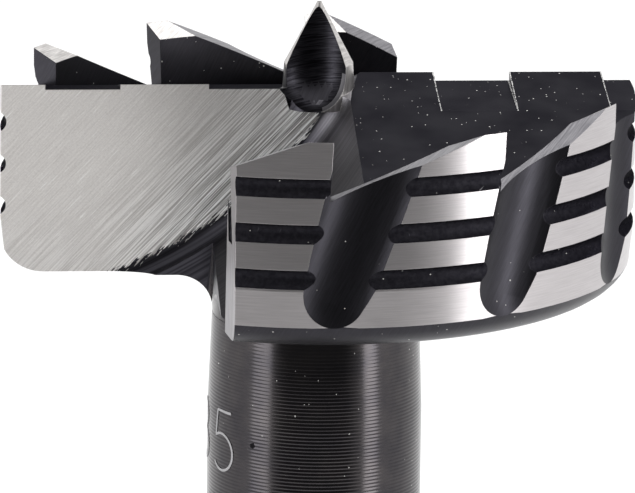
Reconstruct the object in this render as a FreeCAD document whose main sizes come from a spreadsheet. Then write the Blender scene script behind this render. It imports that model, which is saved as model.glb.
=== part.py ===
import FreeCAD, Part
import os
import re
import Sketcher

# Forstner bit of 35 mm, milled from one bar of tool steel. The origin is the centre of the
# shank's end face and +Z runs along the axis to the centre point. The cutting edges lie along X.
# Every feature of the head is made twice, half a turn apart, as the cutters of a milling machine.

DRIVING_SIZES = [
    ("overall_length", 90.0, "shank end to centre point"),
    ("point_length", 4.3, "cutting edges to the tip of the centre point"),
    ("head_diameter", 35.0, "size of the hole that the bit bores"),
    ("head_height", 11.1, "underside of the head to the cutting edges"),
    ("corner_radius", 2.4, "arc between the underside and the rim"),
    ("corner_inset", 2.17, "width of that arc, seen from below"),
    ("land_relief", 0.2, "how far the lowest land draws in towards the underside"),
    ("neck_diameter", 11.9, "neck under the head"),
    ("neck_top_diameter", 11.5, "neck where it meets the head"),
    ("neck_taper_length", 5.5, "length over which the neck tapers"),
    ("neck_fillet", 2.0, "fillet between neck and underside"),
    ("neck_length", 24.0, "underside of the head to the end of the neck"),
    ("shoulder_length", 1.0, "cone between neck and shank"),
    ("shank_diameter", 10.0, "shank held in the chuck"),
    ("shank_chamfer", 0.8, "chamfer at the shank end"),
    ("land_groove_width", 1.04, "width of a groove round the rim"),
    ("land_groove_depth", 0.3, "depth of a groove round the rim"),
    ("land_groove_pitch", 2.46, "distance from groove to groove"),
    ("land_groove_drop", 2.18, "cutting edges down to the first groove's middle"),
    ("rake_offset", 1.5, "axis to each cutting edge"),
    ("rake_angle", 12.0, "lean of the cutting faces"),
    ("slot_width", 13.15, "width of the chip slot"),
    ("slot_radius", 24.8, "radius of the disc cutter that makes the chip slot"),
    ("slot_corner", 1.0, "corner radius of that cutter"),
    ("slot_centre_out", 20.35, "cutter's centre beside the axis"),
    ("slot_centre_up", 10.87, "cutter's centre above the cutting edges"),
    ("window_stock", 0.95, "stock left in front of the cutting face beside the neck"),
    ("window_edge_out", 5.49, "rim end face's outer edge beside the axis"),
    ("window_edge_depth", 15.08, "that edge in front of the cutting face"),
    ("window_bend_out", 5.80, "rim end face's inner edge beside the axis"),
    ("window_bend_depth", 12.95, "that edge in front of the cutting face"),
    ("window_neck_out", 5.78, "chip window's wall along the neck, beside the axis"),
    ("window_run_out", 14.4, "depth of the chip window below the cutting edges"),
    ("flank_angle", 12.5, "fall of the surface behind each cutting edge"),
    ("flank_run_out", 6.0, "how far that surface runs past the axis, inside the rim"),
    ("rim_wall", 1.4, "thickness of the toothed rim"),
    ("ring_gap", 0.9, "gap between the rim and the surface behind the edge"),
    ("ring_gap_depth", 5.7, "depth of that gap below the cutting edges"),
    ("ring_gap_start", 24.0, "where that gap starts, in degrees behind the cutting edge"),
    ("ring_gap_end", 112.0, "where it ends, in the next chip window"),
    ("tooth_lead_a", 0.05, "height of one half's tooth tips over the cutting edges"),
    ("tooth_lead_b", 0.3, "height of the other half's tooth tips, which were sharpened apart"),
    ("tooth_pitch", 31.8, "degrees from tooth to tooth"),
    ("tooth_start", 27.9, "first tooth, in degrees behind the cutting edge"),
    ("tooth_flat", 1.2, "length of a tooth's top along the rim"),
    ("tooth_bevel", 28.0, "inward fall of a tooth's top"),
    ("tooth_back_angle_a", 25.0, "fall of one half's tooth backs towards the next tooth's face"),
    ("tooth_back_angle_b", 22.0, "fall of the other half's tooth backs"),
    ("tooth_face_lean", 0.15, "foot of a tooth's face behind its tip"),
    ("gullet_radius", 3.6, "radius of the ball cutter that makes a gullet"),
    ("gullet_slant", 19.0, "slant of a gullet along the rim"),
    ("gullet_lean", 4.2, "a gullet grows deeper towards its top by this angle"),
    ("gullet_depth", 0.52, "depth of a gullet at its foot"),
    ("gullet_drop", 8.25, "cutting edges down to the centre of a gullet's round foot"),
    ("gullet_lead", 0.5, "gullet foot ahead of its tooth, in degrees"),
    ("breaker_angle", 7.5, "fall of the floor of a chip breaker"),
    ("point_foot_diameter", 4.1, "foot of the centre point"),
    ("point_base_diameter", 3.8, "base of the point's cone"),
    ("point_tip_diameter", 0.24, "blunt tip of the centre point"),
    ("point_base_rise", 0.9, "cutting edges up to the base of the cone"),
    ("point_foot", 1.5, "cutting edges down to the foot of the centre point"),
    ("flute_radius", 2.2, "radius of the ball cutter that flutes the centre point"),
    ("flute_offset", 2.45, "axis to the middle of that cutter"),
    ("flute_rise", 0.65, "cutting edges up to the flute's round foot"),
    ("flute_turn", 12.0, "flutes turned from the cutting faces, in degrees"),
]

# The two cutting edges carry steps that break the chip, and each edge cuts what the other leaves:
# edge by edge, the near and far end of each step from the axis and how deep it lies.
CHIP_BREAKERS = {
    0: [("a", 1.5, 6.1), ("b", 10.95, 15.05)],
    180: [("c", 6.5, 10.7), ("d", 15.85, 19.5)],
}
BREAKER_DEPTHS = {0: 0.28, 180: 0.45}

DERIVED_SIZES = [
    ("edge_level", "=overall_length - point_length"),
    ("underside", "=edge_level - head_height"),
    ("rim_top", "=edge_level + tooth_lead_b"),
    ("head_radius", "=head_diameter / 2"),
    ("relieved_radius", "=head_radius - land_relief"),
    ("corner_start", "=relieved_radius - corner_inset"),
    ("corner_height", "=underside + corner_radius - sqrt(corner_radius ^ 2 - corner_inset ^ 2)"),
    ("neck_radius", "=neck_diameter / 2"),
    ("neck_top_radius", "=neck_top_diameter / 2"),
    ("fillet_end", "=neck_top_radius + neck_fillet"),
    ("fillet_foot", "=underside - neck_fillet"),
    ("taper_foot", "=fillet_foot - neck_taper_length"),
    ("neck_foot", "=underside - neck_length"),
    ("shoulder_foot", "=neck_foot - shoulder_length"),
    ("shank_radius", "=shank_diameter / 2"),
    ("shank_end_radius", "=shank_radius - shank_chamfer"),
    ("zero_level", "=0"),
    ("groove_tube", "=(land_groove_width ^ 2 / 4 + land_groove_depth ^ 2) / (2 * land_groove_depth)"),
    ("groove_centre", "=head_radius - land_groove_depth + groove_tube"),
    ("groove_level", "=edge_level - land_groove_drop"),
    ("relief_start", "=groove_level - 2 * land_groove_pitch - 0.6 * land_groove_width"),
    ("rim_inner_radius", "=head_radius - rim_wall"),
    ("ring_inner_radius", "=rim_inner_radius - ring_gap"),
    ("cutter_reach", "=head_radius + 4"),
    ("slot_flat", "=slot_radius - slot_corner"),
    ("lean_back", "=sin(rake_angle * 1deg)"),
    ("lean_up", "=cos(rake_angle * 1deg)"),
    ("bevel_inner_radius", "=ring_inner_radius - 0.9"),
    ("bevel_drop", "=(head_radius - bevel_inner_radius) * tan(tooth_bevel * 1deg)"),
    ("bevel_rise", "=4 * tan(tooth_bevel * 1deg)"),
    ("cutter_top", "=rim_top + 9"),
    ("back_run", "=head_radius * sin(tooth_pitch * 1deg) - tooth_flat"),
    ("back_drop_a", "=back_run * tan(tooth_back_angle_a * 1deg)"),
    ("back_drop_b", "=back_run * tan(tooth_back_angle_b * 1deg)"),
    ("cutter_lift", "=8"),
]

LAND_GROOVES = 3
TEETH = 3
SIDES = (0, 180)
TOOTH_LEADS = {0: "tooth_lead_a", 180: "tooth_lead_b"}
BACK_DROPS = {0: "back_drop_a", 180: "back_drop_b"}
SHEET = "Sizes"

doc = FreeCAD.newDocument("forstner_bit")


def make_sheet():
    """Write the driving sizes as numbers and the derived ones as formulas, each under its name."""
    sheet = doc.addObject("Spreadsheet::Sheet", SHEET)
    rows = [(name, str(value), note) for name, value, note in DRIVING_SIZES]
    for side, steps in CHIP_BREAKERS.items():
        for letter, near, far in steps:
            rows.append(("breaker_near_" + letter, str(near), "chip breaker's end nearer the axis"))
            rows.append(("breaker_far_" + letter, str(far), "chip breaker's outer end"))
            rows.append(("breaker_depth_" + letter, str(BREAKER_DEPTHS[side]), "chip breaker's depth"))
    rows += [(name, formula, "worked out") for name, formula in DERIVED_SIZES]
    for number, (name, content, note) in enumerate(rows, start=1):
        sheet.set("A%d" % number, note)
        sheet.set("B%d" % number, content)
        sheet.setAlias("B%d" % number, name)
    doc.recompute()
    return sheet


sheet = make_sheet()
ALIASES = {sheet.getAlias("B%d" % number) for number in range(1, 120)}


def cell(formula):
    """Give a formula of sheet names in the form that an expression outside the sheet needs."""
    return re.sub("[a-z]\\w*", lambda word: SHEET + "." + word.group() if word.group() in ALIASES
                  else word.group(), formula)


def bind(thing, setting, formula):
    thing.setExpression(setting, cell(formula))


def place(thing, x, y, z, turns=(), side=0):
    """Place a cutter by formulas: its corner or centre, then its turns about the axes in order.

    A turn is a letter of its axis and a formula in degrees. The other side's cutter is the same
    one, half a turn on round the bit.
    """
    steps = ["placement(vector(0; 0; 0); rotation(vector(0; 0; 1); %d))" % side,
             "placement(vector(%s; %s; %s); rotation(vector(0; 0; 1); 0))" % (cell(x), cell(y), cell(z))]
    axes = {"X": "1; 0; 0", "Y": "0; 1; 0", "Z": "0; 0; 1"}
    steps += ["placement(vector(0; 0; 0); rotation(vector(%s); %s))" % (axes[letter], cell(angle))
              for letter, angle in turns]
    thing.setExpression("Placement", " * ".join(steps))


def primitive(kind, name, **sizes):
    thing = doc.addObject("Part::" + kind, name)
    for setting, formula in sizes.items():
        bind(thing, setting, formula)
    return thing


def outline(sketch, corners, arcs=()):
    """Draw a closed outline. Each corner is a pair of sheet names, which may have a minus sign.

    arcs maps a corner's number to the arc that leaves it: its radius and its centre, as names.
    """
    def number(name):
        return -float(sheet.get(name[1:])) if name.startswith("-") else float(sheet.get(name))

    def bound(name):
        return ("-" if name.startswith("-") else "") + SHEET + "." + name.lstrip("-")

    arcs = dict(arcs)
    points = [FreeCAD.Vector(number(x), number(y), 0) for x, y in corners]
    ends = []
    for index, start in enumerate(points):
        stop = points[(index + 1) % len(points)]
        if index in arcs:
            radius, centre_x, centre_y, forward = arcs[index]
            centre = FreeCAD.Vector(centre_x, centre_y, 0)
            middle = centre + ((start + stop) * 0.5 - centre).normalize() * number(radius)
            arc = Part.Arc(start, middle, stop)
            edge = sketch.addGeometry(arc, False)
            first, last = (1, 2) if forward else (2, 1)
        else:
            edge = sketch.addGeometry(Part.LineSegment(start, stop), False)
            first, last = 1, 2
        ends.append((edge, first, last))
    for index, (edge, first, last) in enumerate(ends):
        following, next_first, _ = ends[(index + 1) % len(ends)]
        sketch.addConstraint(Sketcher.Constraint("Coincident", edge, last, following, next_first))
        if index in arcs:
            row = sketch.addConstraint(Sketcher.Constraint("Radius", edge, number(arcs[index][0])))
            sketch.setExpression("Constraints[%d]" % row, bound(arcs[index][0]))
    for (edge, first, _), (x, y), point in zip(ends, corners, points):
        for direction, name, value in (("DistanceX", x, point.x), ("DistanceY", y, point.y)):
            row = sketch.addConstraint(Sketcher.Constraint(direction, -1, 1, edge, first, value))
            sketch.setExpression("Constraints[%d]" % row, bound(name))


def make_blank():
    """Turn the bar: shank, neck and head in one revolved profile."""
    body = doc.addObject("PartDesign::Body", "Blank")
    sketch = body.newObject("Sketcher::SketchObject", "TurnedProfile")
    plane = [item for item in body.Origin.OriginFeatures if item.Role == "XZ_Plane"][0]
    sketch.AttachmentSupport = [(plane, "")]
    sketch.MapMode = "FlatFace"
    corner_x = float(sheet.get("corner_start"))
    corner_y = float(sheet.get("underside")) + float(sheet.get("corner_radius"))
    fillet_x = float(sheet.get("fillet_end"))
    fillet_y = float(sheet.get("fillet_foot"))
    outline(sketch, [
        ("zero_level", "zero_level"),
        ("shank_end_radius", "zero_level"),
        ("shank_radius", "shank_chamfer"),
        ("shank_radius", "shoulder_foot"),
        ("neck_radius", "neck_foot"),
        ("neck_radius", "taper_foot"),
        ("neck_top_radius", "fillet_foot"),
        ("fillet_end", "underside"),
        ("corner_start", "underside"),
        ("relieved_radius", "corner_height"),
        ("head_radius", "relief_start"),
        ("head_radius", "rim_top"),
        ("zero_level", "rim_top"),
    ], {6: ("neck_fillet", fillet_x, fillet_y, False),
        8: ("corner_radius", corner_x, corner_y, True)})
    turned = body.newObject("PartDesign::Revolution", "Turned")
    turned.Profile = sketch
    turned.ReferenceAxis = (sketch, ["V_Axis"])
    turned.Angle = 360
    body.Tip = turned
    return body


def make_land_grooves():
    """Return the rings that cut the grooves round the rim."""
    rings = []
    for number in range(LAND_GROOVES):
        ring = primitive("Torus", "LandGroove%d" % number, Radius1="groove_centre", Radius2="groove_tube")
        place(ring, "0", "0", "groove_level - land_groove_pitch * %d" % number)
        rings.append(ring)
    return rings


def make_slot(side):
    """Return the disc cutter that mills the chip slot in front of a cutting face."""
    sketch = doc.addObject("Sketcher::SketchObject", "SlotProfile%d" % side)
    outline(sketch, [
        ("zero_level", "zero_level"),
        ("slot_flat", "zero_level"),
        ("slot_radius", "slot_corner"),
        ("slot_radius", "slot_width"),
        ("zero_level", "slot_width"),
    ], {1: ("slot_corner", float(sheet.get("slot_flat")), float(sheet.get("slot_corner")), True)})
    disc = doc.addObject("Part::Revolution", "ChipSlot%d" % side)
    disc.Source = sketch
    disc.Axis = (0, 1, 0)
    disc.Angle = 360
    disc.Solid = True
    place(disc, "-slot_centre_out", "-rake_offset - slot_centre_up * lean_back",
          "edge_level + slot_centre_up * lean_up", [("X", "180 + rake_angle")], side)
    return disc


def make_window(side):
    """Return the prism that opens the chip window down past the head, along the cutting face."""
    sketch = doc.addObject("Sketcher::SketchObject", "WindowOutline%d" % side)
    outline(sketch, [
        ("-window_neck_out", "window_stock"),
        ("-window_bend_out", "window_bend_depth"),
        ("-window_edge_out", "window_edge_depth"),
        ("-window_edge_out", "cutter_reach"),
        ("-cutter_reach", "cutter_reach"),
        ("-cutter_reach", "window_stock"),
    ])
    prism = doc.addObject("Part::Extrusion", "ChipWindow%d" % side)
    prism.Base = sketch
    prism.DirMode = "Custom"
    prism.Dir = (0, 0, 1)
    prism.Solid = True
    bind(prism, "LengthFwd", "cutter_lift + window_run_out")
    place(prism, "0", "-rake_offset - cutter_lift * lean_back", "edge_level + cutter_lift * lean_up",
          [("X", "180 + rake_angle")], side)
    return prism


def make_flank(side):
    """Return what is milled off behind a cutting edge, as far as the toothed rim."""
    block = primitive("Box", "FlankBlock%d" % side, Length="cutter_reach",
                      Width="cutter_reach + 3", Height="cutter_lift")
    place(block, "-cutter_reach", "-rake_offset - 1 * cos(flank_angle * 1deg)",
          "edge_level + 1 * sin(flank_angle * 1deg)", [("X", "-flank_angle")], side)
    run_out = primitive("Box", "FlankRunOut%d" % side, Length="flank_run_out + 1",
                        Width="cutter_reach", Height="cutter_lift")
    place(run_out, "-1", "-rake_offset + 9 * cos(flank_angle * 1deg)",
          "edge_level - 9 * sin(flank_angle * 1deg)", [("X", "-flank_angle")], side)
    reach = doc.addObject("Part::Fuse", "FlankReach%d" % side)
    reach.Base = block
    reach.Tool = run_out
    bowl = primitive("Cylinder", "FlankBowl%d" % side, Radius="rim_inner_radius", Height="cutter_top")
    place(bowl, "0", "0", "0", (), side)
    outlet = primitive("Cylinder", "FlankOutlet%d" % side, Radius="cutter_reach", Height="cutter_top",
                       Angle="tooth_start + 12")
    place(outlet, "0", "0", "0", [("Z", "180 - tooth_start")], side)
    room = doc.addObject("Part::Fuse", "FlankRoom%d" % side)
    room.Base = bowl
    room.Tool = outlet
    flank = doc.addObject("Part::Common", "Flank%d" % side)
    flank.Base = reach
    flank.Tool = room
    return flank


def make_ring_gap(side):
    """Return the groove along the inside of the toothed rim."""
    outer = primitive("Cylinder", "RingOuter%d" % side, Radius="rim_inner_radius",
                      Height="ring_gap_depth + cutter_lift", Angle="ring_gap_end - ring_gap_start")
    place(outer, "0", "0", "edge_level - ring_gap_depth", [("Z", "180 - ring_gap_end")], side)
    inner = primitive("Cylinder", "RingInner%d" % side, Radius="ring_inner_radius",
                      Height="cutter_top + cutter_lift")
    place(inner, "0", "0", "0", (), side)
    gap = doc.addObject("Part::Cut", "RingGap%d" % side)
    gap.Base = outer
    gap.Tool = inner
    return gap


def make_bevel(side):
    """Return the cone that slopes the teeth's tops inwards."""
    sketch = doc.addObject("Sketcher::SketchObject", "BevelProfile%d" % side)
    outline(sketch, [
        ("bevel_inner_radius", "-bevel_drop"),
        ("cutter_reach", "bevel_rise"),
        ("cutter_reach", "cutter_lift"),
        ("bevel_inner_radius", "cutter_lift"),
    ])
    cone = doc.addObject("Part::Revolution", "ToothBevel%d" % side)
    cone.Source = sketch
    cone.Axis = (0, 1, 0)
    cone.Solid = True
    bind(cone, "Angle", "ring_gap_end - ring_gap_start")
    place(cone, "0", "0", "edge_level + " + TOOTH_LEADS[side],
          [("Z", "180 - ring_gap_end"), ("X", "90")], side)
    return cone


def make_tooth_backs(side):
    """Return the wedges between the teeth: each ends at a tooth's face and slopes up to the tooth ahead.

    The last wedge runs out into the chip window.
    """
    wedges = []
    for number in range(1, TEETH + 1):
        tooth = "( 180 - tooth_start - tooth_pitch * %d )" % number
        sketch = doc.addObject("Sketcher::SketchObject", "BackProfile%d_%d" % (side, number))
        outline(sketch, [
            ("-tooth_face_lean", "-" + BACK_DROPS[side]),
            ("back_run", "zero_level"),
            ("back_run", "cutter_lift"),
            ("zero_level", "cutter_lift"),
            ("zero_level", "zero_level"),
        ])
        back = doc.addObject("Part::Extrusion", "ToothBack%d_%d" % (side, number))
        back.Base = sketch
        back.DirMode = "Custom"
        back.Dir = (0, 0, 1)
        back.Solid = True
        bind(back, "LengthFwd", "cutter_reach - ring_inner_radius + 1")
        place(back, "(ring_inner_radius - 1) * cos( %s * 1deg )" % tooth,
              "(ring_inner_radius - 1) * sin( %s * 1deg )" % tooth,
              "edge_level + " + TOOTH_LEADS[side], [("Z", tooth + " + 90"), ("X", "90")], side)
        wedges.append(back)
    return wedges


def make_gullets(side):
    """Return the ball cutters that mill the slanted gullets, one before each tooth's face."""
    cutters = []
    for number in range(TEETH):
        gullet = "( 180 - tooth_start - tooth_pitch * %d + gullet_lead )" % number
        out = "( head_radius - gullet_depth + gullet_radius )"
        ball = primitive("Sphere", "GulletFoot%d_%d" % (side, number), Radius="gullet_radius")
        shaft = primitive("Cylinder", "Gullet%d_%d" % (side, number), Radius="gullet_radius",
                          Height="gullet_drop + cutter_lift")
        for cutter in (ball, shaft):
            place(cutter, "%s * cos( %s * 1deg )" % (out, gullet), "%s * sin( %s * 1deg )" % (out, gullet),
                  "edge_level - gullet_drop",
                  [("Z", gullet), ("X", "-gullet_slant"), ("Y", "-gullet_lean")], side)
            cutters.append(cutter)
    return cutters


def make_breakers(side):
    """Return the steps ground into a cutting edge."""
    blocks = []
    for letter, _, _ in CHIP_BREAKERS[side]:
        near, far, depth = ("breaker_%s_%s" % (word, letter) for word in ("near", "far", "depth"))
        block = primitive("Box", "ChipBreaker_" + letter, Length="%s - %s" % (far, near),
                          Width="cutter_lift", Height="cutter_lift")
        place(block, "-" + far, "-rake_offset - 1 * cos(breaker_angle * 1deg)",
              "edge_level - %s + 1 * sin(breaker_angle * 1deg)" % depth, [("X", "-breaker_angle")], side)
        blocks.append(block)
    return blocks


def make_point():
    """Return the solid of the centre point: a slightly tapered foot under a steep cone."""
    foot = primitive("Cone", "PointFoot", Radius1="point_foot_diameter / 2",
                     Radius2="point_base_diameter / 2", Height="point_foot + point_base_rise")
    place(foot, "0", "0", "edge_level - point_foot")
    cone = primitive("Cone", "PointCone", Radius1="point_base_diameter / 2",
                     Radius2="point_tip_diameter / 2", Height="point_length - point_base_rise")
    place(cone, "0", "0", "edge_level + point_base_rise")
    return [foot, cone]


def make_flute(side):
    """Return the upright ball cutter that hollows one face of the centre point."""
    turn = "( -90 - flute_turn )"
    ball = primitive("Sphere", "FluteFoot%d" % side, Radius="flute_radius")
    shaft = primitive("Cylinder", "Flute%d" % side, Radius="flute_radius", Height="cutter_lift")
    for cutter in (ball, shaft):
        place(cutter, "flute_offset * cos( %s * 1deg )" % turn, "flute_offset * sin( %s * 1deg )" % turn,
              "edge_level + flute_rise", (), side)
    return [ball, shaft]


def join(name, shapes):
    joined = doc.addObject("Part::MultiFuse", name)
    joined.Shapes = shapes
    joined.Refine = False
    return joined


def cut(name, base, tool):
    result = doc.addObject("Part::Cut", name)
    result.Base = base
    result.Tool = tool
    result.Refine = False
    return result


def make_bit():
    """Turn the blank, clear the chip slots and the teeth, mill the gullets, then set the centre point."""
    cutters = make_land_grooves()
    for side in SIDES:
        cutters += [make_slot(side), make_window(side), make_flank(side), make_ring_gap(side)]
        cutters += [make_bevel(side)] + make_tooth_backs(side) + make_breakers(side)
    cleared = cut("ClearedHead", make_blank(), join("HeadCutters", cutters))
    gullets = [cutter for side in SIDES for cutter in make_gullets(side)]
    milled = cut("MilledHead", cleared, join("GulletCutters", gullets))
    pointed = join("PointedHead", [milled] + make_point())
    flutes = [cutter for side in SIDES for cutter in make_flute(side)]
    bit = cut("ForstnerBit", pointed, join("PointFlutes", flutes))
    bit.Label = "forstner_bit"
    return bit


bit = make_bit()
doc.recompute()
for thing in doc.Objects:
    if "Invalid" in thing.State or "Error" in thing.State:
        raise RuntimeError("%s is %s" % (thing.Name, thing.State))
    if hasattr(thing, "Shape") and (thing.Shape.isNull() or not thing.Shape.isValid()):
        raise RuntimeError("%s has no valid shape" % thing.Name)
if len(bit.Shape.Solids) != 1:
    raise RuntimeError("the bit is %d solids" % len(bit.Shape.Solids))
os.makedirs("parts", exist_ok=True)
bit.Shape.exportStep("parts/forstner_bit.step")
print("volume %.1f, box %s" % (bit.Shape.Volume, bit.Shape.BoundBox))
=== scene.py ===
import bpy
import math
import numpy as np
from mathutils import Matrix, Vector


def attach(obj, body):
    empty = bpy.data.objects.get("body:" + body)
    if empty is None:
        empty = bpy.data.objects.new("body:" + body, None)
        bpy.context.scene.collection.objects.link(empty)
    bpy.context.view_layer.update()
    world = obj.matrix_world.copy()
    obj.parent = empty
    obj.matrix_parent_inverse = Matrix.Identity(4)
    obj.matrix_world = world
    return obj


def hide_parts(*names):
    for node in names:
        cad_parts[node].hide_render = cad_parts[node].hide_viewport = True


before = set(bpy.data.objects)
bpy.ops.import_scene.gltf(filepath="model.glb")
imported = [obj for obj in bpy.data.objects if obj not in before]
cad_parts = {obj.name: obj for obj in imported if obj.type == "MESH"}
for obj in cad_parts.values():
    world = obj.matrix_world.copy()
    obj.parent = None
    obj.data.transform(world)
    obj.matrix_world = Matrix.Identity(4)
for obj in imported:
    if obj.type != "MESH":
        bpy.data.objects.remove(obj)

bl_info = {
    "name": "Forstner bit",
    "version": (1, 1, 0),
    "blender": (4, 5, 0),
    "location": "View3D > Sidebar > Forstner bit",
    "description": "Finishes a forstner bit's steel, turns its neck, etches its size and sets the stage",
    "category": "Object",
}

NODE = "forstner_bit"
MM = 0.001

# Places, sizes and angles of the bit, in millimetres and degrees, as the source has them.
EDGE_LEVEL = 85.7
UNDERSIDE = 74.6
LAND_FOOT = 75.99
GROOVE_LEVELS = (83.52, 81.06, 78.6)
HEAD_RADIUS = 17.5
RAKE_OFFSET = 1.5
RAKE_ANGLE = 12.0
SLOT_OUT = -20.35
SLOT_UP = 10.87
SLOT_RADIUS = 24.8
SLOT_FLAT = 23.8
FLANK_ANGLE = 12.5
BREAKER_ANGLE = 7.5
NECK_RADIUS = 5.95
NECK_TOP_RADIUS = 5.75
TAPER_FOOT = 67.1
TAPER_TOP = 72.6

# The centre point: levels over the cutting edges, and radii at its foot, at its cone's base and at its tip.
POINT_FOOT = 1.5
POINT_BASE_LEVEL = 0.9
POINT_LENGTH = 4.3
POINT_FOOT_RADIUS = 2.05
POINT_BASE_RADIUS = 1.9
POINT_TIP_RADIUS = 0.12

# Ends of the chip breaker steps along each cutting edge, how deep they are, and the width of the painted
# highlight beside their walls at the cutting edge and where the step runs out.
STEP_ENDS = {1: (6.1, 10.95, 15.05), -1: (6.5, 10.7, 15.85)}
STEP_DEPTHS = {1: 0.28, -1: 0.45}
STEP_HIGHLIGHT_WIDTH = (0.075, 0.03)

# Bounds that tell the surfaces apart, in mm. A reach is a distance from the axis, and a foot is a level
# against the cutting edges. A cutting face reaches past the middle by FACE_REACH, a groove reaches up and
# down from its level by GROOVE_REACH, and the rim's upright ends lie along X between the END_PLACE values.
SLACK = 0.05
NECK_REACH = 8.2
POINT_REACH = 2.3
POINT_LOWEST = -1.6
POINT_CLEAR = -0.3
FLUTE_DEPTH = 0.8
COLLAR_TOP = 0.6
CORNER_DEPTH = 1.05
FACE_REACH = 2.5
CORNER_REACH = 17.4
RIM_REACH = 17.0
LAND_REACH = 17.25
GROOVE_REACH = 0.53
TOOTH_REACH = 14.0
TOOTH_FOOT = -5.0
BACK_REACH = 15.9
FLANK_FOOT = -6.0
END_PLACE = (5.3, 6.1)
END_REACH = 13.0
END_FOOT = -11.5
SLOT_REACH = 15.4
SLOT_FOOT = -11.0

# The turned sleeve in mm: its two ends, over what length it rises from the solid at each, its lift, the
# length at the head over which its marks are worn, the part of them that is left there, and its grid.
SLEEVE_ENDS = (51.0, 72.5)
SLEEVE_RISE = (0.3, 0.1)
SLEEVE_LIFT = 0.01
WORN_LENGTH = 4.0
WORN_LEAST = 0.25
PLACES_AROUND = 112
ROWS_PER_MARK = 6

# The etched size and the punched dot beside it, in millimetres and degrees round the neck.
DIGIT_TOP = 67.5
DIGIT_GAP = 1.2
DIGIT_WIDTH = 0.52
LINE_WIDTH = 0.14
LINE_LIFT = 0.05
LINE_ROOT = -0.1
LINE_STEP = 0.1
ARC_PLACES = 24
DOT_PLACE = (-128.9, 66.02)
DOT_RADIUS = 0.1
DOT_LIFT = 0.04

# Directions along and across the marks of the grinding wheel: round the rim once it is rolled flat, back
# from a cutting edge, and up the rim's ends. On the left cutting face they rise by FACE_MARK_ANGLE, which
# makes FACE_MARK_WAY in the raked face.
ROUND_RIM = (1, 0, 0), (0, 0, 1)
BACK_FROM_EDGE = (0, 1, 0), (1, 0, 0)
UP_THE_END = (0, 0, 1), (0, 1, 0)
FACE_MARK_ANGLE = 48
FACE_MARK_WAY = (0.669, -0.158, 0.743)

# The middle of a noise's range, where most of it lies.
MIDDLE = (0.35, 0.65)

# Dust: small cells to the millimetre, a speck's largest radius in mm, and its colour.
DUST_PER_MM = 4.0
DUST_RADIUS = 0.0464
DUST_COLOUR = "#C6C4C1"

# The photographer's camera as measured from the photo, in metres and degrees, its lens in millimetres, and
# the level direction to it.
CAMERA_PLACE = (-0.0223136, -0.2967614, 0.149336)
CAMERA_FORWARD = (0.07301502, 0.96832027, -0.23879836)
CAMERA_LENS = 313.275
CAMERA_TURN = -4.28854
CAMERA_ROLL = 0.69901
CAMERA_SIDE = (-0.0751, -0.9972)

# What the lights point at, and the white table's reach and front edge, in metres.
LIGHT_TARGET = (0, 0, 0.08)
TABLE_REACH = 3.0
TABLE_FRONT = -0.1


def slant(angle, plane="XZ"):
    """Directions along and across marks that rise by an angle in degrees in a plane."""
    cos, sin = math.cos(math.radians(angle)), math.sin(math.radians(angle))
    if plane == "XZ":
        return (cos, 0, sin), (-sin, 0, cos)
    return (cos, sin, 0), (-sin, cos, 0)


def linear(code):
    """Turn an sRGB hex colour into the linear colour that a shader socket takes."""
    levels = [int(code[start:start + 2], 16) / 255 for start in (1, 3, 5)]
    return [v / 12.92 if v <= 0.04045 else ((v + 0.055) / 1.055) ** 2.4 for v in levels] + [1.0]


def add_node(tree, kind, inputs=(), output=0, **settings):
    """Add a shader node with its settings, and return its output, or a tuple of outputs by their names.

    The inputs come in order, or in a dictionary by name or place: numbers, hex colours or outputs to link.
    """
    made = tree.nodes.new("ShaderNode" + kind)
    for name, value in settings.items():
        setattr(made, name, value)
    given = inputs.items() if isinstance(inputs, dict) else enumerate(inputs)
    for key, value in given:
        if isinstance(value, bpy.types.NodeSocket):
            tree.links.new(value, made.inputs[key])
        else:
            made.inputs[key].default_value = linear(value) if isinstance(value, str) else value
    if isinstance(output, tuple):
        return tuple(made.outputs[name] for name in output)
    return made.outputs[output]


def new_material(name, colour, roughness, metallic=1.0):
    """Start a material and return it with its tree and its surface node."""
    material = bpy.data.materials.new(name)
    material.use_nodes = True
    tree = material.node_tree
    surface = tree.nodes["Principled BSDF"]
    surface.inputs["Base Color"].default_value = linear(colour)
    surface.inputs["Roughness"].default_value = roughness
    surface.inputs["Metallic"].default_value = metallic
    return material, tree, surface


def place_on_piece(tree):
    """The place on the piece in millimetres."""
    place = add_node(tree, "TexCoord", (), "Object")
    return add_node(tree, "VectorMath", {0: place, "Scale": 1 / MM}, operation="SCALE")


def sign_of_half(tree):
    """1, 1, 1 in the left half of the head, and -1, -1, 1 in the right one, which is half a turn round."""
    half = add_node(tree, "Attribute", (), "Fac", attribute_name="half")
    return add_node(tree, "CombineXYZ", (half, half, 1.0))


def place_in_half(tree):
    """The place turned into the left half of the head, so that both halves share one pattern."""
    return add_node(tree, "VectorMath", (place_on_piece(tree), sign_of_half(tree)), operation="MULTIPLY")


def parts(tree, place, *ways):
    """How far a place lies along each of some directions."""
    return [add_node(tree, "VectorMath", (place, way), "Value", operation="DOT_PRODUCT") for way in ways]


def distance_from_axis(tree, place, square):
    """Distance from an axis through the origin, where square is 1 in the two directions square to it."""
    flat = add_node(tree, "VectorMath", (place, square), operation="MULTIPLY")
    return add_node(tree, "VectorMath", (flat,), "Value", operation="LENGTH")


def along_marks(tree, place, ways, squeeze=1.0, seed=0.0):
    """The place by its way along the marks, squeezed, and its way across them."""
    along = [squeeze * part for part in ways[0]]
    return add_node(tree, "CombineXYZ", (*parts(tree, place, along, ways[1]), seed))


def streaks(tree, place, ways, width, length, detail=3.0, seed=0.0):
    """Scratch-like noise along the marks, with features width mm across and length mm long."""
    squeezed = along_marks(tree, place, ways, width / length, seed)
    return add_node(tree, "TexNoise", {"Vector": squeezed, "Scale": 1 / width, "Detail": detail,
                                       "Roughness": 0.65})


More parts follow.
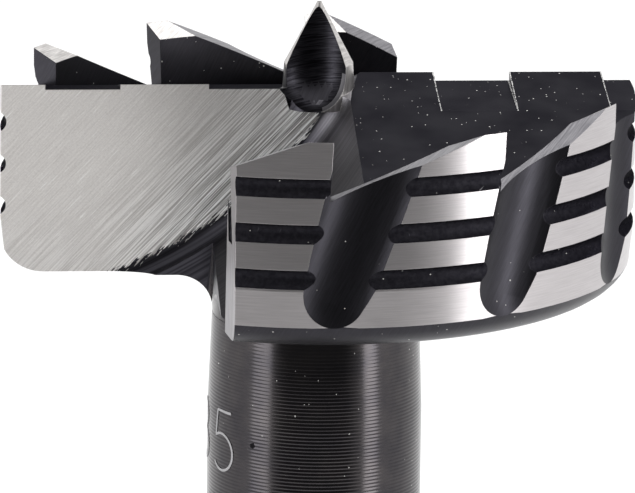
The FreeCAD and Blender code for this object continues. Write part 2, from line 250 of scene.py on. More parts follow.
def tones(tree, pattern, first, second, low=0.0, high=1.0):
    """Go from one colour to another as a pattern rises from low to high."""
    factor = add_node(tree, "MapRange", (pattern, low, high))
    return add_node(tree, "Mix", {"Factor": factor, 6: first, 7: second}, 2, data_type="RGBA")


def overlap(tree, *masks):
    """The product of several masks, which is bright where all of them are."""
    shared = masks[0]
    for mask in masks[1:]:
        shared = add_node(tree, "Math", (shared, mask), operation="MULTIPLY")
    return shared


def relief(tree, surface, height, depth_mm, strength, edge_mm=0.05):
    """Let a height in parts of depth_mm and a small rounding of the edges bend the shading."""
    rounded = add_node(tree, "Bevel", {"Radius": edge_mm * MM}, samples=4)
    bump = add_node(tree, "Bump", {"Strength": strength, "Distance": depth_mm * MM, "Height": height,
                                   "Normal": rounded})
    tree.links.new(bump, surface.inputs["Normal"])


def dusted(tree, surface, place, colour, share):
    """Scatter pale specks of dust, which is no metal, over a colour, in a share of small cells."""
    distance, random = add_node(tree, "TexVoronoi", {"Vector": place, "Scale": DUST_PER_MM},
                                ("Distance", "Color"))
    pick, size = add_node(tree, "SeparateColor", (random,), ("Red", "Green"))
    radius = add_node(tree, "Math", (size, DUST_RADIUS * DUST_PER_MM), operation="MULTIPLY")
    near = add_node(tree, "Math", (distance, radius), operation="LESS_THAN")
    chosen = add_node(tree, "Math", (pick, share), operation="LESS_THAN")
    speck = overlap(tree, near, chosen)
    metal = add_node(tree, "Math", (1.0, speck), operation="SUBTRACT")
    tree.links.new(tones(tree, speck, colour, DUST_COLOUR), surface.inputs["Base Color"])
    tree.links.new(metal, surface.inputs["Metallic"])


def place_in_slot(tree, place):
    """The place from the slot cutter's axis, its distance from that axis, and its depth before the face.

    Turned by the rake, X runs along the cutting edge, Y into the face and Z up it.
    """
    cos, sin = math.cos(math.radians(RAKE_ANGLE)), math.sin(math.radians(RAKE_ANGLE))
    shift = (-SLOT_OUT, RAKE_OFFSET * cos - EDGE_LEVEL * sin,
             -(EDGE_LEVEL * cos + RAKE_OFFSET * sin + SLOT_UP))
    turned = add_node(tree, "Mapping", {"Vector": place, "Location": shift,
                                        "Rotation": (-math.radians(RAKE_ANGLE), 0, 0)})
    return turned, distance_from_axis(tree, turned, (1, 0, 1)), parts(tree, turned, (0, -1, 0))[0]


def slot_shade(tree, place):
    """Dark milled colour of the chip slot, with painted light that makes its root paler, and the height of
    its cutter's rings.
    """
    turned, radius, deep = place_in_slot(tree, place)
    # The rings follow the cutter's radius. They change slowly with depth and hardly along the edge.
    ring_place = add_node(tree, "CombineXYZ", (radius, *parts(tree, turned, (0.02, 0, 0), (0, -0.9, 0))))
    rings = add_node(tree, "TexNoise", {"Vector": ring_place, "Scale": 6.5, "Detail": 1.0,
                                        "Roughness": 0.6})
    x, z = parts(tree, place, (1, 0, 0), (0, 0, 1))
    # Where the painted light on the root starts and where it is full, in mm.
    painted_light_bounds = ((x, -0.8, 1.0), (z, 80.8, 83.4), (x, 3.4, 1.8), (deep, 8.0, 3.5))
    root = overlap(tree, *[add_node(tree, "MapRange", fade) for fade in painted_light_bounds])
    dark = tones(tree, rings, "#2C2B30", "#46454B", 0.36, 0.64)
    # The paler tones are painted light on the root.
    pale = tones(tree, rings, "#646267", "#807E83", 0.36, 0.64)
    return tones(tree, root, dark, pale), rings


def ground_face_steel():
    """Cutting faces and the root of the slot: pale ground steel with slanting wheel marks.

    The marks are even near the rim and coarse beside the slot, where painted glints and a painted
    brightening lighten them. The slot's dark milled steel has a ragged border.
    """
    material, tree, surface = new_material("ground_tool_steel_cutting_face", "#DCD9D6", 0.5)
    way = add_node(tree, "VectorMath", (sign_of_half(tree), FACE_MARK_WAY), operation="MULTIPLY")
    tree.links.new(way, surface.inputs["Tangent"])
    surface.inputs["Anisotropic"].default_value = 0.7
    surface.inputs["Anisotropic Rotation"].default_value = 0.25
    place = place_in_half(tree)
    ways = slant(FACE_MARK_ANGLE)
    fine = streaks(tree, place, ways, width=0.08, length=1.8, detail=2.0)
    long = streaks(tree, place, ways, width=0.1, length=6.0, seed=7.0)
    grain = add_node(tree, "TexNoise", {"Vector": along_marks(tree, place, ways), "Scale": 9.0,
                                        "Detail": 3.0, "Roughness": 0.7})
    calm = add_node(tree, "Mix", {0: 0.5, 2: fine, 3: grain})
    _, radius, _ = place_in_slot(tree, place)
    x = parts(tree, place, (1, 0, 0))[0]
    # Coarse marks, lightened there by painted glints, come in over the last millimetres before the slot,
    # and from the rim inwards.
    beside_slot = add_node(tree, "MapRange", (radius, SLOT_FLAT - 6.0, SLOT_FLAT - 0.5, 0.1, 0.95))
    inwards = add_node(tree, "MapRange", (x, -12.0, -6.0, 0.3, 1.0))
    coarse = overlap(tree, beside_slot, inwards)
    even = tones(tree, calm, "#D2CECB", "#E9E6E3", 0.36, 0.64)
    # Painted glints: the coarse streaks rise to white.
    coarse_streaks_and_painted_glints = tones(tree, long, "#989594", "#FFFFFF", 0.42, 0.58)
    scratch = add_node(tree, "Math", (fine, 0.68), operation="GREATER_THAN")
    ground = tones(tree, scratch, tones(tree, coarse, even, coarse_streaks_and_painted_glints), "#F0EFED")
    shade, rings = slot_shade(tree, place)
    ragged = streaks(tree, place, ways, width=0.13, length=0.9, detail=2.0, seed=3.0)
    border = add_node(tree, "MapRange", (ragged, 0.3, 0.7, SLOT_FLAT - 0.12, SLOT_FLAT + 0.5))
    milled = add_node(tree, "Math", (radius, border), operation="GREATER_THAN")
    rough = add_node(tree, "MapRange", (coarse, 0.05, 0.9, 0.5, 0.78))
    marks = add_node(tree, "Mix", {0: coarse, 2: calm, 3: long})
    tree.links.new(tones(tree, milled, ground, shade), surface.inputs["Base Color"])
    tree.links.new(add_node(tree, "Mix", {0: milled, 2: rough, 3: 0.36}), surface.inputs["Roughness"])
    height = add_node(tree, "Mix", {0: milled, 2: marks, 3: rings})
    relief(tree, surface, height, depth_mm=0.024, strength=0.5)
    return material


def milled_slot_steel():
    """Chip slot: dark steel with the disc cutter's rings and painted light in its root."""
    material, tree, surface = new_material("milled_tool_steel_chip_slot", "#3C3B3F", 0.38)
    shade, rings = slot_shade(tree, place_in_half(tree))
    tree.links.new(shade, surface.inputs["Base Color"])
    relief(tree, surface, rings, depth_mm=0.016, strength=0.5)
    return material


def ground_land_steel():
    """Lands of the rim: pale steel ground round the rim, whose marks stretch its reflections upright."""
    material, tree, surface = new_material("ground_tool_steel_land", "#BDB9BA", 0.3)
    x, y, z = add_node(tree, "SeparateXYZ", (place_on_piece(tree),), ("X", "Y", "Z"))
    turn = add_node(tree, "Math", (y, x), operation="ARCTAN2")
    arc = add_node(tree, "Math", (turn, HEAD_RADIUS), operation="MULTIPLY")
    rolled_flat = add_node(tree, "CombineXYZ", (arc, 0.0, z))
    fine = streaks(tree, rolled_flat, ROUND_RIM, width=0.06, length=2.4)
    tree.links.new(tones(tree, fine, "#B5B1B2", "#C3BFC0", *MIDDLE), surface.inputs["Base Color"])
    surface.inputs["Anisotropic"].default_value = 0.6
    surface.inputs["Anisotropic Rotation"].default_value = 0.25
    tangent = add_node(tree, "Tangent", direction_type="RADIAL", axis="Z")
    tree.links.new(tangent, surface.inputs["Tangent"])
    relief(tree, surface, fine, depth_mm=0.002, strength=0.3)
    return material


def ground_steel(name, colour, roughness, ways, width, length, low, high, depth_mm):
    """Steel with the wheel's marks in one direction, between a low and a high tone."""
    material, tree, surface = new_material(name, colour, roughness)
    fine = streaks(tree, place_on_piece(tree), ways, width, length)
    tree.links.new(tones(tree, fine, low, high, *MIDDLE), surface.inputs["Base Color"])
    relief(tree, surface, fine, depth_mm, strength=0.5)
    return material


def ground_top_steel():
    """Tops of the teeth and what is left of the point's cone: pale steel with crosswise wheel marks."""
    return ground_steel("ground_tool_steel_tooth_top", "#C4C1BF", 0.34, slant(60, "XY"), width=0.1,
                        length=1.6, low="#A5A2A0", high="#D6D3D1", depth_mm=0.008)


def ground_back_steel():
    """Backs of the teeth: hardened steel that was ground over in part, so it is grey."""
    return ground_steel("ground_tool_steel_tooth_back", "#77757A", 0.4, slant(60, "XY"), width=0.12,
                        length=2.0, low="#605F64", high="#8C8A8E", depth_mm=0.008)


def ground_end_steel():
    """Upright ends of the rim: steel with a light grind and upright marks."""
    return ground_steel("ground_tool_steel_rim_end", "#8E8B8D", 0.36, UP_THE_END, width=0.12,
                        length=2.5, low="#76747A", high="#9C999B", depth_mm=0.006)


def painted_step_wall_highlights(tree, place):
    """A mask of painted highlights beside the chip breaker steps, along their walls."""
    x, y = parts(tree, place, (1, 0, 0), (0, 1, 0))
    half = add_node(tree, "Attribute", (), "Fac", attribute_name="half")
    # A step's floor falls less steeply than the flank, so the step runs out where the two meet.
    rise = math.tan(math.radians(FLANK_ANGLE)) - math.tan(math.radians(BREAKER_ANGLE))
    mask = 0.0
    for side, ends in STEP_ENDS.items():
        run_out = STEP_DEPTHS[side] / rise - RAKE_OFFSET
        width = add_node(tree, "MapRange", (y, -RAKE_OFFSET, run_out, *STEP_HIGHLIGHT_WIDTH))
        ahead = add_node(tree, "Math", (y, run_out), operation="LESS_THAN")
        same_half = add_node(tree, "Math", (half, side, 0.5), operation="COMPARE")
        for end in ends:
            near = add_node(tree, "Math", (x, -end, width), operation="COMPARE")
            hit = overlap(tree, near, ahead, same_half)
            mask = add_node(tree, "Math", (mask, hit), operation="MAXIMUM")
    # Noise breaks the painted highlights into pieces.
    worn = add_node(tree, "TexNoise", {"Vector": place, "Scale": 7.0, "Detail": 3.0, "Roughness": 0.7})
    return overlap(tree, mask, add_node(tree, "Math", (worn, 0.46), operation="GREATER_THAN"))


def hardened_flank_steel():
    """Surfaces behind the cutting edges: dark hardened steel, dusty, with painted highlights along the step
    walls.
    """
    material, tree, surface = new_material("hardened_tool_steel_flank", "#1D1C20", 0.4)
    surface.inputs["Specular Tint"].default_value = linear("#BDBCC0")
    place = place_in_half(tree)
    fine = streaks(tree, place, BACK_FROM_EDGE, width=0.18, length=3.0)
    flat = along_marks(tree, place, ((1, 0, 0), (0, 1, 0)))
    cloud = add_node(tree, "TexNoise", {"Vector": flat, "Scale": 0.35, "Detail": 2.0, "Roughness": 0.5})
    shade = tones(tree, cloud, "#1F1F21", "#2A2A2C", *MIDDLE)
    # Painted highlights along the step walls.
    bright = overlap(tree, painted_step_wall_highlights(tree, place), 0.9)
    dusted(tree, surface, place, tones(tree, bright, shade, "#D9D8D6"), share=0.3)
    relief(tree, surface, fine, depth_mm=0.006, strength=0.45)
    return material


def hardened_gullet_steel():
    """Gullets, underside and the rim's inside: dark hardened steel with faint slanting marks."""
    material, tree, surface = new_material("hardened_tool_steel_gullet", "#37363A", 0.36)
    place = place_on_piece(tree)
    fine = streaks(tree, place, slant(62), width=0.1, length=1.4)
    dusted(tree, surface, place, tones(tree, fine, "#343337", "#3B3A3F", *MIDDLE), share=0.07)
    relief(tree, surface, fine, depth_mm=0.003, strength=0.35)
    return material


def scaled_groove_steel():
    """Rim grooves and the left half's breaker floors: near-black scale, which the grinding wheel left."""
    material, tree, surface = new_material("scaled_tool_steel_rim_groove", "#26252A", 0.55)
    surface.inputs["Specular Tint"].default_value = linear("#505054")
    place = place_on_piece(tree)
    fine = add_node(tree, "TexNoise", {"Vector": place, "Scale": 4.0, "Detail": 4.0, "Roughness": 0.7})
    dusted(tree, surface, place, tones(tree, fine, "#201F24", "#302F34", *MIDDLE), share=0.12)
    relief(tree, surface, fine, depth_mm=0.01, strength=0.5)
    return material


def milled_point_steel():
    """Centre point's flutes: near-black steel with close cutter marks and a pale ground collar."""
    material, tree, surface = new_material("milled_tool_steel_point", "#242327", 0.36)
    place = place_in_half(tree)
    mark = streaks(tree, place, slant(8), width=0.08, length=1.6, detail=2.0)
    milled = tones(tree, mark, "#1B1A1E", "#3A393E", 0.4, 0.6)
    x, z = parts(tree, place, (1, 0, 0), (0, 0, 1))
    from_axis = distance_from_axis(tree, place, (1, 1, 0))
    collar = overlap(tree, add_node(tree, "Math", (from_axis, 1.62), operation="GREATER_THAN"),
                     add_node(tree, "Math", (x, 0.1), operation="GREATER_THAN"),
                     add_node(tree, "Math", (z, EDGE_LEVEL + 0.5), operation="LESS_THAN"))
    tree.links.new(tones(tree, collar, milled, "#8B898D"), surface.inputs["Base Color"])
    relief(tree, surface, mark, depth_mm=0.012, strength=0.5, edge_mm=0.04)
    return material


def turned_neck_steel():
    """Turned neck and shank: dark oiled steel, smooth enough to mirror the soft lights."""
    material, tree, surface = new_material("turned_tool_steel_neck", "#444245", 0.18)
    place = place_on_piece(tree)
    cloud = add_node(tree, "TexNoise", {"Vector": place, "Scale": 0.6, "Detail": 4.0, "Roughness": 0.6})
    dusted(tree, surface, place, tones(tree, cloud, "#3E3C3F", "#4A4748", *MIDDLE), share=0.07)
    return material


def etched_steel():
    """The etched size: pale matt lines."""
    return new_material("etched_tool_steel", "#A9A8AA", 0.5)[0]


def painted_shade_dot_steel():
    """The punched dot: a dark mark of painted shade, standing for the shade in its dent."""
    return new_material("punched_dot_painted_shade", "#19181A", 0.5)[0]


FINISHES = {
    "face": ground_face_steel,
    "slot": milled_slot_steel,
    "land": ground_land_steel,
    "top": ground_top_steel,
    "back": ground_back_steel,
    "end": ground_end_steel,
    "flank": hardened_flank_steel,
    "gullet": hardened_gullet_steel,
    "groove": scaled_groove_steel,
    "point": milled_point_steel,
    "neck": turned_neck_steel,
}


def in_slot(half, x, y, level):
    """Distance from the slot cutter's axis and depth in front of the cutting face, in one half."""
    cos, sin = math.cos(math.radians(RAKE_ANGLE)), math.sin(math.radians(RAKE_ANGLE))
    y = half * y + RAKE_OFFSET
    rise = level * cos - y * sin - SLOT_UP
    return math.hypot(half * x - SLOT_OUT, rise), -y * cos - level * sin


def cone_radius(level):
    """Radius of the centre point's cone and foot at a level over the cutting edges."""
    if level < POINT_BASE_LEVEL:
        share = (level + POINT_FOOT) / (POINT_BASE_LEVEL + POINT_FOOT)
        return POINT_FOOT_RADIUS + (POINT_BASE_RADIUS - POINT_FOOT_RADIUS) * share
    share = (level - POINT_BASE_LEVEL) / (POINT_LENGTH - POINT_BASE_LEVEL)
    return POINT_BASE_RADIUS + (POINT_TIP_RADIUS - POINT_BASE_RADIUS) * share


def on_cutting_face(side, x, y, level, normal):
    """Whether a facet lies on a half's cutting face, or in the rounded corner that its slot ends in."""
    rake = math.radians(RAKE_ANGLE)
    radius, deep = in_slot(side, x, y, level)
    turned = -side * normal[1] * math.cos(rake) - normal[2] * math.sin(rake)
    on_face = abs(deep) < 0.03 and turned > 0.999
    on_corner = -SLACK < deep < CORNER_DEPTH and SLOT_FLAT - SLACK < radius < SLOT_RADIUS + SLACK
    return side * x < FACE_REACH and (on_face or (on_corner and math.hypot(x, y) < CORNER_REACH))


def leans_back(normal, *angles):
    """Whether a facet is a plane that falls straight back from a cutting edge by one of some angles."""
    falls = [math.sin(math.radians(angle)) for angle in angles]
    return abs(normal[0]) < 0.01 and min(abs(abs(normal[1]) - fall) for fall in falls) < 0.02


def finish_of(centre, normal):
    """Name the finish of one facet, and its half of the head, from its centre in mm and its normal.

    The half is 1 on the left and -1 on the right, and 1 where the finish doesn't turn with it. Outward is 1
    on a facet that faces straight away from the axis, and around is how much it faces round the axis.
    """
    x, y, z = centre
    level = z - EDGE_LEVEL
    from_axis = math.hypot(x, y)
    outward = (x * normal[0] + y * normal[1]) / max(from_axis, 1e-6)
    around = abs(x * normal[1] - y * normal[0]) / max(from_axis, 1e-6)
    front = 1 if y < 0 else -1
    if z < UNDERSIDE - SLACK and from_axis < NECK_REACH:
        return "neck", 1
    over_flute = level > POINT_CLEAR or from_axis > cone_radius(level) - FLUTE_DEPTH
    if from_axis < POINT_REACH and level > POINT_LOWEST and over_flute:
        on_cone = from_axis > cone_radius(level) - SLACK and outward > 0.6
        if on_cone and (level > COLLAR_TOP or front * x > 0):
            return "top", 1
        if level > 0.0 or outward < 0.9:
            return "point", front
    for side in (1, -1):
        if on_cutting_face(side, x, y, level, normal):
            return "face", side
    if from_axis > RIM_REACH and z > LAND_FOOT - 0.02 and outward > 0.4 and around < 0.12:
        if min(abs(z - middle) for middle in GROOVE_LEVELS) < GROOVE_REACH:
            return "groove", 1
        if outward > 0.985 and from_axis > LAND_REACH and around < 0.04:
            return "land", 1
    fall = math.sin(math.radians(BREAKER_ANGLE))
    on_floor = abs(normal[0]) < 0.01 and abs(normal[1] - fall) < 0.01
    if on_floor and x < 0 and level > FLANK_FOOT:
        return "groove", 1
    on_tooth = normal[2] > 0.6 and from_axis > TOOTH_REACH and level > TOOTH_FOOT
    if on_tooth and not leans_back(normal, FLANK_ANGLE, BREAKER_ANGLE):
        if outward < -0.25:
            return "top", 1
        if from_axis > BACK_REACH:
            return "back", 1
    in_end = END_PLACE[0] < abs(x) < END_PLACE[1] and from_axis > END_REACH and level > END_FOOT
    if in_end and abs(normal[0]) > 0.95:
        return "end", 1
    if normal[2] > 0.9 and level > FLANK_FOOT:
        return "flank", (-1 if x > 0 else 1)
    if from_axis < SLOT_REACH and level > SLOT_FOOT and in_slot(front, x, y, level)[1] > -0.1:
        return "slot", front
    return "gullet", 1


def add_object(name, data):
    """Make an object and link it to the scene."""
    made = bpy.data.objects.new(name, data)
    bpy.context.scene.collection.objects.link(made)
    return made


def add_piece(name, mesh):
    """Link a finished piece and let it ride on the bit."""
    piece = add_object(name, mesh)
    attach(piece, "root")
    return piece


def finish_steel():
    """Copy the bit's solid and give each facet the finish of its place."""
    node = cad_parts[NODE]
    mesh = node.data.copy()
    mesh.name = "forstner_bit_steel"
    names = list(FINISHES)
    mesh.materials.clear()
    for name in names:
        mesh.materials.append(FINISHES[name]())
    halves = []
    for polygon in mesh.polygons:
        centre = [value / MM for value in polygon.center]
        name, half = finish_of(centre, polygon.normal)
        polygon.material_index = names.index(name)
        halves.append(float(half))
    mesh.attributes.new("half", "FLOAT", "FACE").data.foreach_set("value", halves)
    piece = add_piece("forstner_bit_steel", mesh)
    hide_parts(NODE)


def neck_radius(z):
    """Radius of the turned neck: parallel, then tapering to the head."""
    taper = np.clip((z - TAPER_FOOT) / (TAPER_TOP - TAPER_FOOT), 0.0, 1.0)
    return NECK_RADIUS + (NECK_TOP_RADIUS - NECK_RADIUS) * taper


def round_the_neck(turn, z, lift):
    """Places in mm at angles round the neck in radians, at heights z and lifted off it by lift."""
    radius = neck_radius(z) + lift
    return np.stack(np.broadcast_arrays(radius * np.cos(turn), radius * np.sin(turn), z), axis=-1)


def tube_mesh(name, places, material):
    """Close a grid of places in mm, one ring of them to a row, into a tube with a cap at each end.

    The place in row i and column j starts the face (i, j), (i, j + 1), (i + 1, j + 1), (i + 1, j), and the
    column after the last one is the first.
    """
    rows, columns = places.shape[:2]
    here = np.arange(rows * columns).reshape(rows, columns)
    beside = np.roll(here, -1, axis=1)
    faces = np.stack([here[:-1], beside[:-1], beside[1:], here[1:]], axis=-1).reshape(-1, 4).tolist()
    caps = [here[0, ::-1].tolist(), here[-1].tolist()]
    mesh = bpy.data.meshes.new(name)
    mesh.from_pydata((places.reshape(-1, 3) * MM).tolist(), [], faces + caps)
    mesh.update()
    mesh.materials.append(material)
    return mesh


def turned_sleeve(pitch, depth):
    """Places of the turned neck, by the height z and the turn round it.

    Its radius is R(z) + (lift + depth w^0.7) edge, with w = (1 + cos(2 pi z / pitch + turn)) / 2. The feed
    mark is one thread, so its phase runs on with the turn. It is worn towards the head, and edge brings the
    sleeve down to the solid at both its ends.
    """
    low, high = SLEEVE_ENDS
    rows = int((high - low) / pitch * ROWS_PER_MARK) + 1
    z = np.linspace(low, high, rows)[:, None]
    turn = np.linspace(0, 2 * math.pi, PLACES_AROUND, endpoint=False)[None, :]
    edge = np.minimum(1.0, np.minimum((z - low) / SLEEVE_RISE[0], (high - z) / SLEEVE_RISE[1]))
    worn = depth * np.minimum(1.0, WORN_LEAST + (1 - WORN_LEAST) * (high - z) / WORN_LENGTH)
    wave = 0.5 + 0.5 * np.cos(2 * math.pi * z / pitch + turn)
    return round_the_neck(turn, z, (SLEEVE_LIFT + worn * wave ** 0.7) * edge)


def turn_neck(settings):
    """Add the neck's turned surface, smooth but for its caps."""
    places = turned_sleeve(settings.feed_pitch / MM, settings.feed_depth / MM)
    mesh = tube_mesh("turned_neck", places, turned_neck_steel())
    smooth = np.ones(len(mesh.polygons), bool)
    smooth[-2:] = False
    mesh.polygons.foreach_set("use_smooth", smooth)
    add_piece("turned_neck", mesh)


def line_on_neck(path, lift):
    """Places of a flat line round the neck, along a path of places (degrees, z).

    The path is measured flat, walked in even steps, and carries a section of four corners: two lifted off
    the neck by lift mm, half a line's width to each side, and two under its surface.
    """
    path = np.array(path, float)
    flat = np.stack([np.radians(path[:, 0]) * NECK_RADIUS, path[:, 1]], axis=1)
    lengths = np.concatenate([[0], np.cumsum(np.linalg.norm(np.diff(flat, axis=0), axis=1))])
    at = np.linspace(0, lengths[-1], max(3, int(lengths[-1] / LINE_STEP)))
    line = np.stack([np.interp(at, lengths, flat[:, 0]), np.interp(at, lengths, flat[:, 1])], axis=1)
    ahead = np.gradient(line, axis=0)
    ahead /= np.linalg.norm(ahead, axis=1)[:, None]
    across = np.stack([-ahead[:, 1], ahead[:, 0]], axis=1) * LINE_WIDTH / 2
    sides = np.array([1, -1, -1, 1])[None, :, None]
    corners = line[:, None, :] + sides * across[:, None, :]
    lifts = np.array([lift, lift, LINE_ROOT, LINE_ROOT])[None, :]
    return round_the_neck(corners[..., 0] / NECK_RADIUS, corners[..., 1], lifts)


def round_path(centre, radius, start, stop, squash=1.0):
    """Places (degrees round the neck, z) along an arc: its centre and the radius times cosine and sine.

    The angles are in degrees, anticlockwise. The cosine part is squashed and then bent round the neck.
    """
    angles = np.radians(np.linspace(start, stop, ARC_PLACES))
    turns = centre[0] + squash * radius * np.cos(angles) * math.degrees(1 / NECK_RADIUS)
    return list(zip(turns, centre[1] + radius * np.sin(angles)))


def digit_paths(middle, top, height):
    """Strokes of a three and a five, read with the head up, by parts of a digit's width and height."""
    scale = math.degrees(1 / NECK_RADIUS)
    width = DIGIT_WIDTH * height

    def at(digit, across, up):
        start = middle + (digit - 0.5) * (width + DIGIT_GAP) * scale
        return start + (across - 0.5) * width * scale, top - height * (1 - up)

    bowl = round_path(at(1, 0.42, 0.31), 0.31 * height, 128, -140, 0.98)
    five = [at(1, 0.92, 1.0), at(1, 0.18, 1.0)] + bowl
    three = round_path(at(0, 0.42, 0.77), 0.23 * height, 140, -90)
    three += round_path(at(0, 0.42, 0.28), 0.27 * height, 90, -140)
    return [("etched_five", five), ("etched_three", three)]


def etch_size(settings):
    """Add the etched digits and the punched dot beside them."""
    etched = etched_steel()
    for name, path in digit_paths(settings.size_turn, DIGIT_TOP, settings.size_height / MM):
        add_piece(name, tube_mesh(name, line_on_neck(path, LINE_LIFT), etched))
    # The dot's dark colour is painted shade.
    dot = line_on_neck(round_path(DOT_PLACE, DOT_RADIUS, 0, 360), DOT_LIFT)
    add_piece("punched_dot", tube_mesh("punched_dot", dot, painted_shade_dot_steel()))


def soft_light(name, turn, rise, distance, size, level):
    """A soft box seen from the bit at an angle from the camera's side and at a height in degrees.

    Its level is the brightness of its face, where 1 renders as white.
    """
    data = bpy.data.lights.new(name, "AREA")
    data.shape = "RECTANGLE"
    data.size, data.size_y = size
    data.energy = level * math.pi * size[0] * size[1]
    lamp = add_object(name, data)
    heading = math.atan2(CAMERA_SIDE[1], CAMERA_SIDE[0]) + math.radians(turn)
    reach = math.cos(math.radians(rise)) * distance
    height = math.sin(math.radians(rise)) * distance
    way = Vector((math.cos(heading) * reach, math.sin(heading) * reach, height))
    lamp.location = Vector(LIGHT_TARGET) + way
    lamp.rotation_mode = "QUATERNION"
    lamp.rotation_quaternion = (-way).to_track_quat("-Z", "Y")


def make_camera():
    """The photographer's camera: its place, direction and roll as measured from the photo."""
    data = bpy.data.cameras.new("camera")
    data.lens = CAMERA_LENS
    data.sensor_width = 36.0
    data.clip_start, data.clip_end = 0.01, 10.0
    camera = add_object("camera", data)
    forward = Vector(CAMERA_FORWARD).normalized()
    turn, roll = math.radians(CAMERA_TURN), math.radians(CAMERA_ROLL)
    level = Vector((math.cos(turn), math.sin(turn), 0.0))
    level = (level - forward * level.dot(forward)).normalized()
    above = level.cross(forward)
    right = level * math.cos(roll) + above * math.sin(roll)
    up = above * math.cos(roll) - level * math.sin(roll)
    turned = Matrix((right, up, -forward)).transposed().to_4x4()
    camera.matrix_world = Matrix.Translation(Vector(CAMERA_PLACE)) @ turned
    bpy.context.scene.camera = camera


def make_world(settings):
    """Soft light from all round, dark on the camera's side between the table and the overhead light."""
    world = bpy.data.worlds.new("studio")
    bpy.context.scene.world = world
    world.use_nodes = True
    tree = world.node_tree
    background = tree.nodes["Background"]
    way = add_node(tree, "TexCoord", (), "Generated")
    towards, height = parts(tree, way, (*CAMERA_SIDE, 0), (0, 0, 1))
    dark = overlap(tree, add_node(tree, "MapRange", (towards, 0.35, 0.8)),
                   add_node(tree, "MapRange", (height, -0.55, -0.4)))
    shade = tones(tree, dark, "#FFFFFF", [settings.dark_side] * 3 + [1.0])
    tree.links.new(shade, background.inputs["Color"])
    background.inputs["Strength"].default_value = settings.sky


def make_stage(settings):
    """Pale table that ends a little in front of the bit, soft lights and the camera."""
    mesh = bpy.data.meshes.new("floor")
    corners = [(-TABLE_REACH, TABLE_FRONT, 0), (TABLE_REACH, TABLE_FRONT, 0),
               (TABLE_REACH, TABLE_REACH, 0), (-TABLE_REACH, TABLE_REACH, 0)]
    mesh.from_pydata(corners, [], [(0, 1, 2, 3)])
    mesh.materials.append(new_material("white_paper_floor", "#F7F7F7", 0.9, 0.0)[0])
    floor = add_object("floor", mesh)
    bpy.context.scene.view_settings.view_transform = "Standard"
    make_world(settings)
    soft_light("left_strip", turn=-59, rise=0, distance=0.7, size=(0.26, 0.7), level=3.1 * settings.key)
    soft_light("right_strip", turn=63, rise=0, distance=0.7, size=(0.19, 0.7), level=4.2 * settings.key)
    soft_light("overhead", turn=180, rise=66, distance=0.9, size=(0.9, 0.6), level=1.5 * settings.key)
    make_camera()


class NeckSettings(bpy.types.PropertyGroup):
    """Sizes of the neck's feed marks."""
    feed_pitch: bpy.props.FloatProperty(name="Feed pitch",
                                        description="Distance from feed mark to feed mark",
                                        default=0.0002, min=0.0001, max=0.002, subtype="DISTANCE",
                                        unit="LENGTH")
    feed_depth: bpy.props.FloatProperty(name="Feed depth", description="Height of the feed marks",
                                        default=0.000017, min=0.0, max=0.0002, subtype="DISTANCE",
                                        unit="LENGTH")


class EtchSettings(bpy.types.PropertyGroup):
    """Place and height of the etched size."""
    size_turn: bpy.props.FloatProperty(name="Place", description="Middle of the etched size round the neck",
                                       default=-166.0, min=-360.0, max=360.0)
    size_height: bpy.props.FloatProperty(name="Height", description="Height of the etched digits",
                                         default=0.0034, min=0.001, max=0.01, subtype="DISTANCE",
                                         unit="LENGTH")


class StageSettings(bpy.types.PropertyGroup):
    """Strengths of the studio's light."""
    sky: bpy.props.FloatProperty(name="Sky", description="Strength of the light from all round",
                                 default=1.1, min=0.0, max=10.0)
    dark_side: bpy.props.FloatProperty(name="Dark side",
                                       description="Level of the studio behind the camera",
                                       default=0.0908, min=0.0, max=1.0)
    key: bpy.props.FloatProperty(name="Lamps", description="Strength of the soft boxes",
                                 default=1.0, min=0.0, max=10.0)


class FinishSteel(bpy.types.Operator):
    """Give each surface of the bit its ground, milled or hardened finish."""
    bl_idname = "forstner.finish_steel"
    bl_label = "Finish the steel"

    def execute(self, context):
        finish_steel()
        return {"FINISHED"}


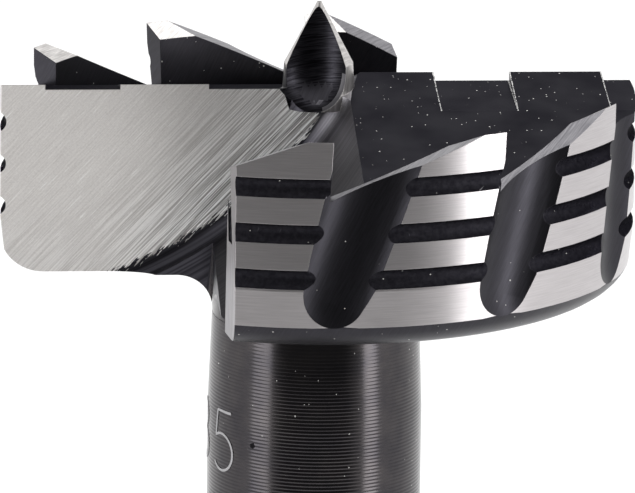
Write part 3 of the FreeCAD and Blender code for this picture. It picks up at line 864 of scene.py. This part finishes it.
class TurnNeck(bpy.types.Operator):
    """Turn the feed marks of the neck."""
    bl_idname = "forstner.turn_neck"
    bl_label = "Turn the neck"

    def execute(self, context):
        turn_neck(context.scene.forstner_neck)
        return {"FINISHED"}


class EtchSize(bpy.types.Operator):
    """Etch the size on the neck."""
    bl_idname = "forstner.etch_size"
    bl_label = "Etch the size"

    def execute(self, context):
        etch_size(context.scene.forstner_etch)
        return {"FINISHED"}


class SetStage(bpy.types.Operator):
    """Set the floor, the lights and the camera."""
    bl_idname = "forstner.set_stage"
    bl_label = "Set the stage"

    def execute(self, context):
        make_stage(context.scene.forstner_stage)
        return {"FINISHED"}


class ForstnerPanel(bpy.types.Panel):
    """The bit's operators, each under its own settings."""
    bl_idname = "VIEW3D_PT_forstner"
    bl_label = "Forstner bit"
    bl_space_type = "VIEW_3D"
    bl_region_type = "UI"
    bl_category = "Forstner bit"

    def draw(self, context):
        layout = self.layout
        layout.operator("forstner.finish_steel")
        for name, operator in (("forstner_neck", "forstner.turn_neck"),
                               ("forstner_etch", "forstner.etch_size"),
                               ("forstner_stage", "forstner.set_stage")):
            settings = getattr(context.scene, name)
            for key in settings.__annotations__:
                layout.prop(settings, key)
            layout.operator(operator)


CLASSES = (NeckSettings, EtchSettings, StageSettings, FinishSteel, TurnNeck, EtchSize, SetStage,
           ForstnerPanel)
SETTINGS = (("forstner_neck", NeckSettings), ("forstner_etch", EtchSettings),
            ("forstner_stage", StageSettings))


def register():
    """Register the classes and hang the settings on the scene."""
    for made in CLASSES:
        bpy.utils.register_class(made)
    for name, kind in SETTINGS:
        setattr(bpy.types.Scene, name, bpy.props.PointerProperty(type=kind))


def unregister():
    """Take the settings and the classes away again."""
    for name, _ in SETTINGS:
        delattr(bpy.types.Scene, name)
    for made in reversed(CLASSES):
        bpy.utils.unregister_class(made)


def main():
    """Finish the bit and set its stage."""
    register()
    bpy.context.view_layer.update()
    bpy.ops.forstner.finish_steel()
    bpy.ops.forstner.turn_neck()
    bpy.ops.forstner.etch_size()
    bpy.ops.forstner.set_stage()


if __name__ == "__main__":
    main()
